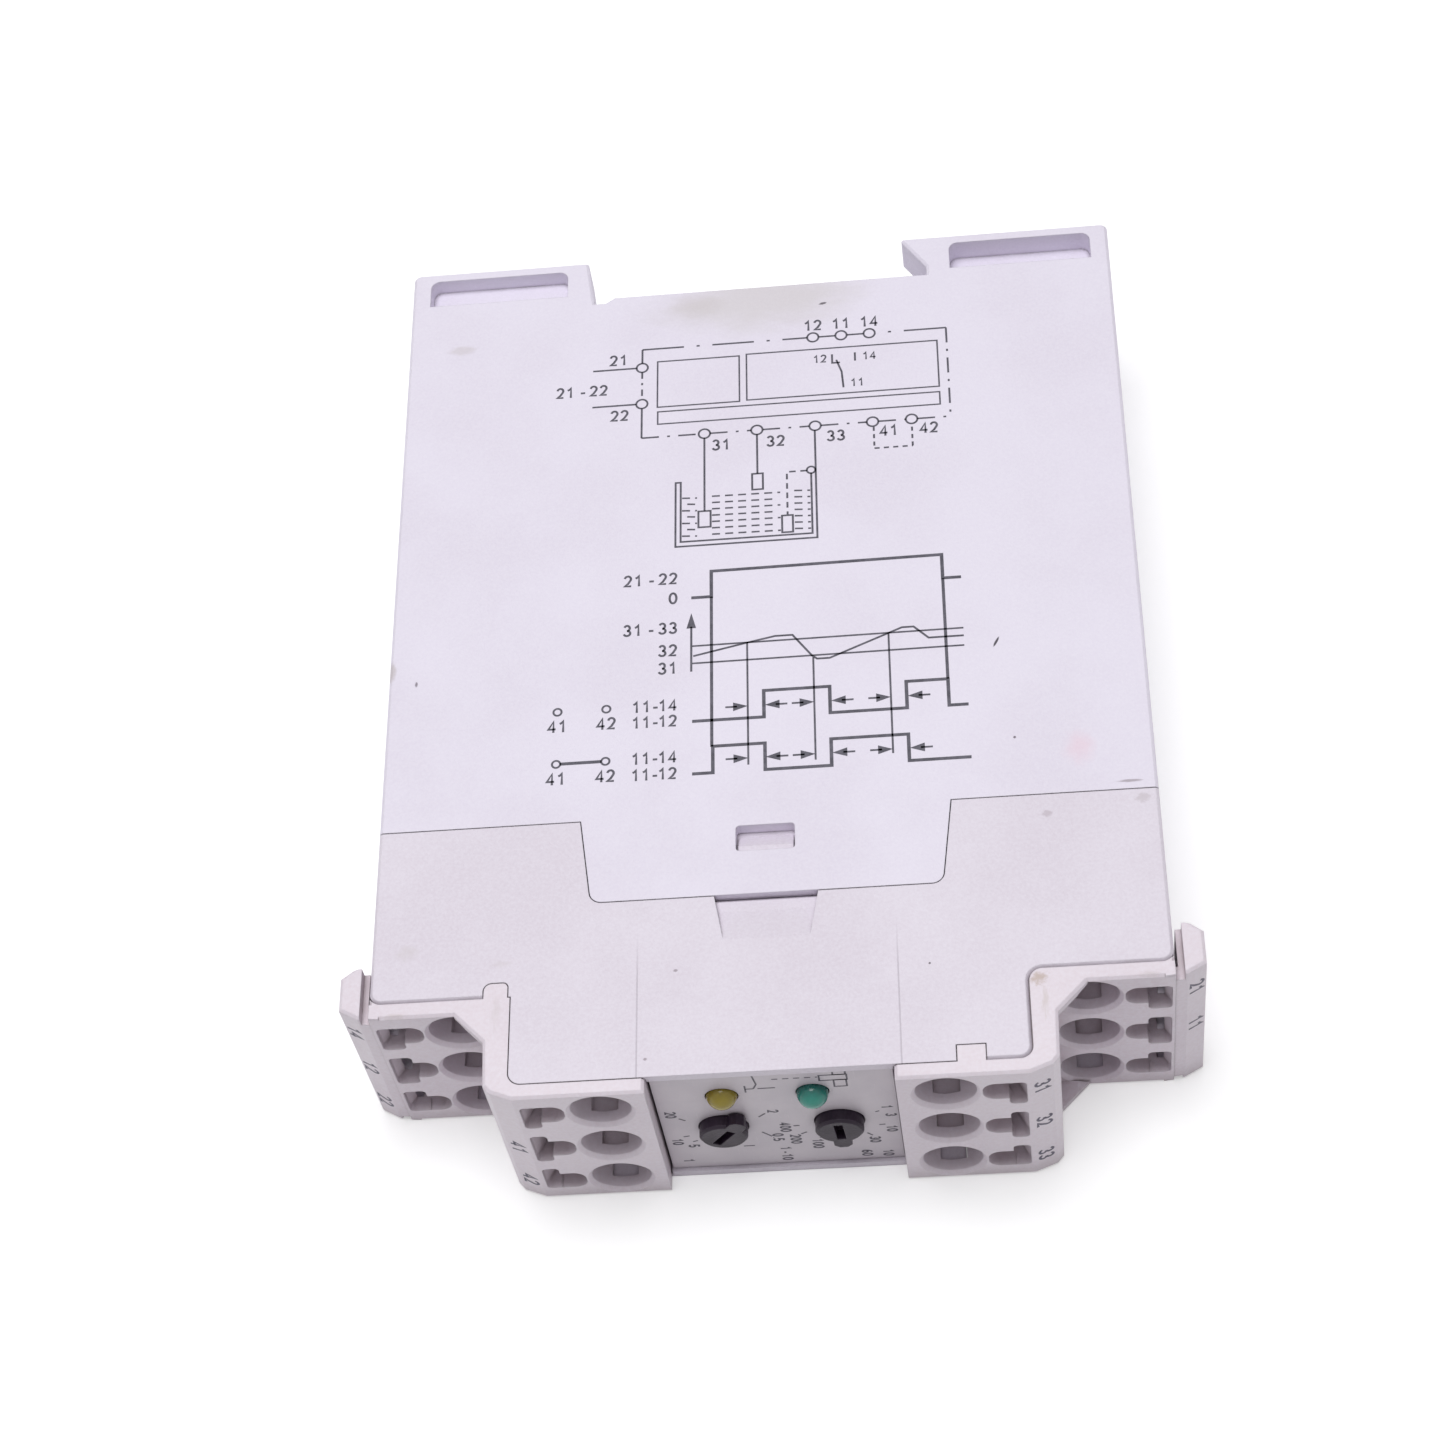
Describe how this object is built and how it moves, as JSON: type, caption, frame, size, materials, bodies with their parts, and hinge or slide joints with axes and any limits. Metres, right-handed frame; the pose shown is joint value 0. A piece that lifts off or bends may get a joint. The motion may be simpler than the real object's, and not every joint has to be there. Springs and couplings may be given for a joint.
{
  "type": "din rail timer",
  "caption": "Narrow rail-mounted delay relay module on its side, with stepped screw terminals, slotted adjusting knobs, lamps and a printed side face.",
  "frame": {"origin": "middle of the side face that the module lies on", "axes": "+Z through the module's width, +Y towards the rail, X along its tall side"},
  "size_m": [0.084, 0.104, 0.0225],
  "materials": {
    "case_plastic": "fine moulded grain",
    "hood_plastic": "fine moulded grain",
    "block_plastic": "smooth moulded",
    "label": "printed plate",
    "knob_plastic": "satin",
    "trimmer_plastic": "satin",
    "yellow_lens": "clear tinted",
    "green_lens": "clear tinted",
    "board": "solder resist",
    "black_plastic": "moulded",
    "relay_cover": "satin",
    "plated_steel": "zinc plated",
    "brass": "tinned edges",
    "winding": "enamelled copper",
    "core_steel": "varnished laminations",
    "winding_tape": "tape",
    "can_sleeve": "shrink sleeve",
    "varistor": "dipped",
    "chip": "moulded",
    "spring_steel": "bright wire",
    "latch_plastic": "moulded"
  },
  "bodies": {
    "housing": {"rear_case": "case_plastic", "front_hood": "hood_plastic", "face_plate": "label", "terminal_block_left": "block_plastic", "terminal_block_right": "block_plastic", "contacts_left_inner": "brass", "contacts_left_outer": "brass", "contacts_right_inner": "brass", "contacts_right_outer": "brass", "trimmer_left": "trimmer_plastic", "trimmer_right": "trimmer_plastic", "lamp_left": "yellow_lens", "lamp_right": "green_lens", "main_board": "board", "front_board": "board", "board_header": "black_plastic", "relay_base": "black_plastic", "relay_cover": "relay_cover", "relay_yoke": "plated_steel", "relay_coil": "winding", "relay_contacts": "brass", "transformer_core": "core_steel", "transformer_winding": "winding_tape", "capacitor_1": "can_sleeve", "capacitor_2": "can_sleeve", "varistor": "varistor", "control_chip": "chip", "latch_spring": "spring_steel"},
    "screw_left_inner_1": {"screw_left_inner_1": "plated_steel"},
    "clamp_left_inner_1": {"clamp_left_inner_1": "plated_steel"},
    "screw_left_inner_2": {"screw_left_inner_2": "plated_steel"},
    "clamp_left_inner_2": {"clamp_left_inner_2": "plated_steel"},
    "screw_left_inner_3": {"screw_left_inner_3": "plated_steel"},
    "clamp_left_inner_3": {"clamp_left_inner_3": "plated_steel"},
    "screw_left_outer_1": {"screw_left_outer_1": "plated_steel"},
    "clamp_left_outer_1": {"clamp_left_outer_1": "plated_steel"},
    "screw_left_outer_2": {"screw_left_outer_2": "plated_steel"},
    "clamp_left_outer_2": {"clamp_left_outer_2": "plated_steel"},
    "screw_left_outer_3": {"screw_left_outer_3": "plated_steel"},
    "clamp_left_outer_3": {"clamp_left_outer_3": "plated_steel"},
    "screw_right_inner_1": {"screw_right_inner_1": "plated_steel"},
    "clamp_right_inner_1": {"clamp_right_inner_1": "plated_steel"},
    "screw_right_inner_2": {"screw_right_inner_2": "plated_steel"},
    "clamp_right_inner_2": {"clamp_right_inner_2": "plated_steel"},
    "screw_right_inner_3": {"screw_right_inner_3": "plated_steel"},
    "clamp_right_inner_3": {"clamp_right_inner_3": "plated_steel"},
    "screw_right_outer_1": {"screw_right_outer_1": "plated_steel"},
    "clamp_right_outer_1": {"clamp_right_outer_1": "plated_steel"},
    "screw_right_outer_2": {"screw_right_outer_2": "plated_steel"},
    "clamp_right_outer_2": {"clamp_right_outer_2": "plated_steel"},
    "screw_right_outer_3": {"screw_right_outer_3": "plated_steel"},
    "clamp_right_outer_3": {"clamp_right_outer_3": "plated_steel"},
    "knob_left": {"knob_left": "knob_plastic"},
    "knob_right": {"knob_right": "knob_plastic"},
    "relay_armature": {"relay_armature": "plated_steel"},
    "rail_latch": {"rail_latch": "latch_plastic"}
  },
  "joints": [
    {"name": "turn_left_inner_1", "type": "hinge", "parent": "housing", "child": "screw_left_inner_1", "pos_m": [-0.01655, -0.047, 0.00375], "axis": [0, 1, 0], "range_deg": [0, 2163]},
    {"name": "lift_left_inner_1", "type": "slide", "parent": "housing", "child": "clamp_left_inner_1", "axis": [0, -1, 0], "range_m": [0, 0.003]},
    {"name": "turn_left_inner_2", "type": "hinge", "parent": "housing", "child": "screw_left_inner_2", "pos_m": [-0.01655, -0.047, 0.01125], "axis": [0, 1, 0], "range_deg": [0, 2163]},
    {"name": "lift_left_inner_2", "type": "slide", "parent": "housing", "child": "clamp_left_inner_2", "axis": [0, -1, 0], "range_m": [0, 0.003]},
    {"name": "turn_left_inner_3", "type": "hinge", "parent": "housing", "child": "screw_left_inner_3", "pos_m": [-0.01655, -0.047, 0.01875], "axis": [0, 1, 0], "range_deg": [0, 2163]},
    {"name": "lift_left_inner_3", "type": "slide", "parent": "housing", "child": "clamp_left_inner_3", "axis": [0, -1, 0], "range_m": [0, 0.003]},
    {"name": "turn_left_outer_1", "type": "hinge", "parent": "housing", "child": "screw_left_outer_1", "pos_m": [-0.0307, -0.03765, 0.00375], "axis": [0, 1, 0], "range_deg": [0, 2163]},
    {"name": "lift_left_outer_1", "type": "slide", "parent": "housing", "child": "clamp_left_outer_1", "axis": [0, -1, 0], "range_m": [0, 0.003]},
    {"name": "turn_left_outer_2", "type": "hinge", "parent": "housing", "child": "screw_left_outer_2", "pos_m": [-0.0307, -0.03765, 0.01125], "axis": [0, 1, 0], "range_deg": [0, 2163]},
    {"name": "lift_left_outer_2", "type": "slide", "parent": "housing", "child": "clamp_left_outer_2", "axis": [0, -1, 0], "range_m": [0, 0.003]},
    {"name": "turn_left_outer_3", "type": "hinge", "parent": "housing", "child": "screw_left_outer_3", "pos_m": [-0.0307, -0.03765, 0.01875], "axis": [0, 1, 0], "range_deg": [0, 2163]},
    {"name": "lift_left_outer_3", "type": "slide", "parent": "housing", "child": "clamp_left_outer_3", "axis": [0, -1, 0], "range_m": [0, 0.003]},
    {"name": "turn_right_inner_1", "type": "hinge", "parent": "housing", "child": "screw_right_inner_1", "pos_m": [0.01655, -0.047, 0.00375], "axis": [0, 1, 0], "range_deg": [0, 2163]},
    {"name": "lift_right_inner_1", "type": "slide", "parent": "housing", "child": "clamp_right_inner_1", "axis": [0, -1, 0], "range_m": [0, 0.003]},
    {"name": "turn_right_inner_2", "type": "hinge", "parent": "housing", "child": "screw_right_inner_2", "pos_m": [0.01655, -0.047, 0.01125], "axis": [0, 1, 0], "range_deg": [0, 2163]},
    {"name": "lift_right_inner_2", "type": "slide", "parent": "housing", "child": "clamp_right_inner_2", "axis": [0, -1, 0], "range_m": [0, 0.003]},
    {"name": "turn_right_inner_3", "type": "hinge", "parent": "housing", "child": "screw_right_inner_3", "pos_m": [0.01655, -0.047, 0.01875], "axis": [0, 1, 0], "range_deg": [0, 2163]},
    {"name": "lift_right_inner_3", "type": "slide", "parent": "housing", "child": "clamp_right_inner_3", "axis": [0, -1, 0], "range_m": [0, 0.003]},
    {"name": "turn_right_outer_1", "type": "hinge", "parent": "housing", "child": "screw_right_outer_1", "pos_m": [0.0307, -0.03765, 0.00375], "axis": [0, 1, 0], "range_deg": [0, 2163]},
    {"name": "lift_right_outer_1", "type": "slide", "parent": "housing", "child": "clamp_right_outer_1", "axis": [0, -1, 0], "range_m": [0, 0.003]},
    {"name": "turn_right_outer_2", "type": "hinge", "parent": "housing", "child": "screw_right_outer_2", "pos_m": [0.0307, -0.03765, 0.01125], "axis": [0, 1, 0], "range_deg": [0, 2163]},
    {"name": "lift_right_outer_2", "type": "slide", "parent": "housing", "child": "clamp_right_outer_2", "axis": [0, -1, 0], "range_m": [0, 0.003]},
    {"name": "turn_right_outer_3", "type": "hinge", "parent": "housing", "child": "screw_right_outer_3", "pos_m": [0.0307, -0.03765, 0.01875], "axis": [0, 1, 0], "range_deg": [0, 2163]},
    {"name": "lift_right_outer_3", "type": "slide", "parent": "housing", "child": "clamp_right_outer_3", "axis": [0, -1, 0], "range_m": [0, 0.003]},
    {"name": "knob_left_turn", "type": "hinge", "parent": "housing", "child": "knob_left", "pos_m": [-0.0056, -0.051, 0.0101], "axis": [0, 1, 0], "range_deg": [-184, 131]},
    {"name": "knob_right_turn", "type": "hinge", "parent": "housing", "child": "knob_right", "pos_m": [0.0058, -0.051, 0.0101], "axis": [0, 1, 0], "range_deg": [-315, 0]},
    {"name": "armature_pull", "type": "hinge", "parent": "housing", "child": "relay_armature", "pos_m": [0.0044, 0, 0.01545], "axis": [0, 1, 0], "range_deg": [0, 3.8], "stiffness_Nm_per_rad": 0.02, "springref_deg": -5.73},
    {"name": "rail_latch_slide", "type": "slide", "parent": "housing", "child": "rail_latch", "axis": [-1, 0, 0], "range_m": [0, 0.0035], "stiffness_N_per_m": 800, "springref_m": -0.001, "deforming": ["latch_spring"]}
  ],
  "couplings": [
    {"joint": "turn_left_inner_1", "follows": "lift_left_inner_1", "rad_per_m": 12566},
    {"joint": "turn_left_inner_2", "follows": "lift_left_inner_2", "rad_per_m": 12566},
    {"joint": "turn_left_inner_3", "follows": "lift_left_inner_3", "rad_per_m": 12566},
    {"joint": "turn_left_outer_1", "follows": "lift_left_outer_1", "rad_per_m": 12566},
    {"joint": "turn_left_outer_2", "follows": "lift_left_outer_2", "rad_per_m": 12566},
    {"joint": "turn_left_outer_3", "follows": "lift_left_outer_3", "rad_per_m": 12566},
    {"joint": "turn_right_inner_1", "follows": "lift_right_inner_1", "rad_per_m": 12566},
    {"joint": "turn_right_inner_2", "follows": "lift_right_inner_2", "rad_per_m": 12566},
    {"joint": "turn_right_inner_3", "follows": "lift_right_inner_3", "rad_per_m": 12566},
    {"joint": "turn_right_outer_1", "follows": "lift_right_outer_1", "rad_per_m": 12566},
    {"joint": "turn_right_outer_2", "follows": "lift_right_outer_2", "rad_per_m": 12566},
    {"joint": "turn_right_outer_3", "follows": "lift_right_outer_3", "rad_per_m": 12566}
  ]
}
